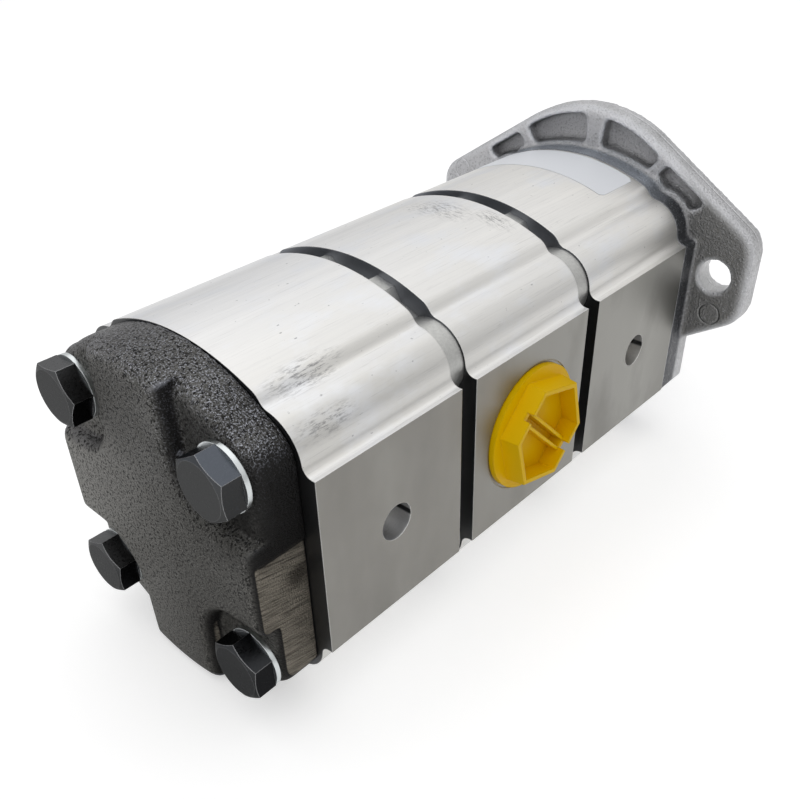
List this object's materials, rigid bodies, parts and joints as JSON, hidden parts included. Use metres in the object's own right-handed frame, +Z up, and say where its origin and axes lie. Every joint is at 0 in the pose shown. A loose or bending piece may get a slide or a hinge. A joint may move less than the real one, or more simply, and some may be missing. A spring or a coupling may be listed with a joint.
{
  "type": "hydraulic pump",
  "caption": "Triple external gear pump: extruded aluminium bodies between spacer plates, cast rear cover, ribbed two-bolt mounting flange, splined drive shaft and a plugged suction port.",
  "frame": {"origin": "centre of the pilot on the mounting face, which is where the drive shaft's axis leaves the flange", "axes": "+X along the drive shaft to its free end, +Z up with the drive gears above the driven gears, suction side towards -Y"},
  "size_m": [0.2347, 0.129, 0.1123],
  "materials": {
    "cast_iron": "dark sand-cast iron",
    "extruded_aluminium": "extruded, sides milled",
    "plate_aluminium": "cast, machined faces",
    "cast_aluminium": "cast and tumbled",
    "ground_steel": "ground and hardened",
    "bearing_aluminium": "machined",
    "bronze": "lined bush",
    "black_rubber": "nitrile rubber",
    "black_steel": "black oxide",
    "zinc_steel": "bright zinc plate",
    "yellow_plastic": "moulded polyethylene"
  },
  "bodies": {
    "housing": {"rear_cover": "cast_iron", "rear_body": "extruded_aluminium", "middle_body": "extruded_aluminium", "front_body": "extruded_aluminium", "rear_spacer_plate": "plate_aluminium", "front_spacer_plate": "plate_aluminium", "front_cover": "cast_aluminium", "rear_section_rear_block": "bearing_aluminium", "rear_section_front_block": "bearing_aluminium", "rear_section_bushes": "bronze", "rear_section_balance_seals": "black_rubber", "middle_section_rear_block": "bearing_aluminium", "middle_section_front_block": "bearing_aluminium", "middle_section_bushes": "bronze", "middle_section_balance_seals": "black_rubber", "front_section_rear_block": "bearing_aluminium", "front_section_front_block": "bearing_aluminium", "front_section_bushes": "bronze", "front_section_balance_seals": "black_rubber", "joint_seals": "black_rubber", "clamp_bolts": "black_steel", "bolt_washers": "zinc_steel", "dowel_pins": "ground_steel", "shaft_seal": "black_rubber", "seal_retaining_ring": "ground_steel"},
    "drive_train": {"front_drive_gear": "ground_steel", "front_coupling": "ground_steel", "middle_drive_gear": "ground_steel", "rear_coupling": "ground_steel", "rear_drive_gear": "ground_steel"},
    "front_driven": {"front_driven_gear": "ground_steel"},
    "middle_driven": {"middle_driven_gear": "ground_steel"},
    "rear_driven": {"rear_driven_gear": "ground_steel"},
    "plug": {"port_plug": "yellow_plastic"}
  },
  "joints": [
    {"name": "drive_spin", "type": "hinge", "parent": "housing", "child": "drive_train", "pos_m": [0, 0, 0], "axis": [1, 0, 0], "continuous": true},
    {"name": "front_driven_spin", "type": "hinge", "parent": "housing", "child": "front_driven", "pos_m": [-0.042, 0, -0.033], "axis": [1, 0, 0], "continuous": true},
    {"name": "middle_driven_spin", "type": "hinge", "parent": "housing", "child": "middle_driven", "pos_m": [-0.1, 0, -0.033], "axis": [1, 0, 0], "continuous": true},
    {"name": "rear_driven_spin", "type": "hinge", "parent": "housing", "child": "rear_driven", "pos_m": [-0.1575, 0, -0.033], "axis": [1, 0, 0], "continuous": true},
    {"name": "plug_slide", "type": "slide", "parent": "housing", "child": "plug", "axis": [0, -1, 0], "range_m": [0, 0.03]}
  ],
  "couplings": [
    {"joint": "front_driven_spin", "follows": "drive_spin", "ratio": -1},
    {"joint": "middle_driven_spin", "follows": "drive_spin", "ratio": -1},
    {"joint": "rear_driven_spin", "follows": "drive_spin", "ratio": -1}
  ]
}
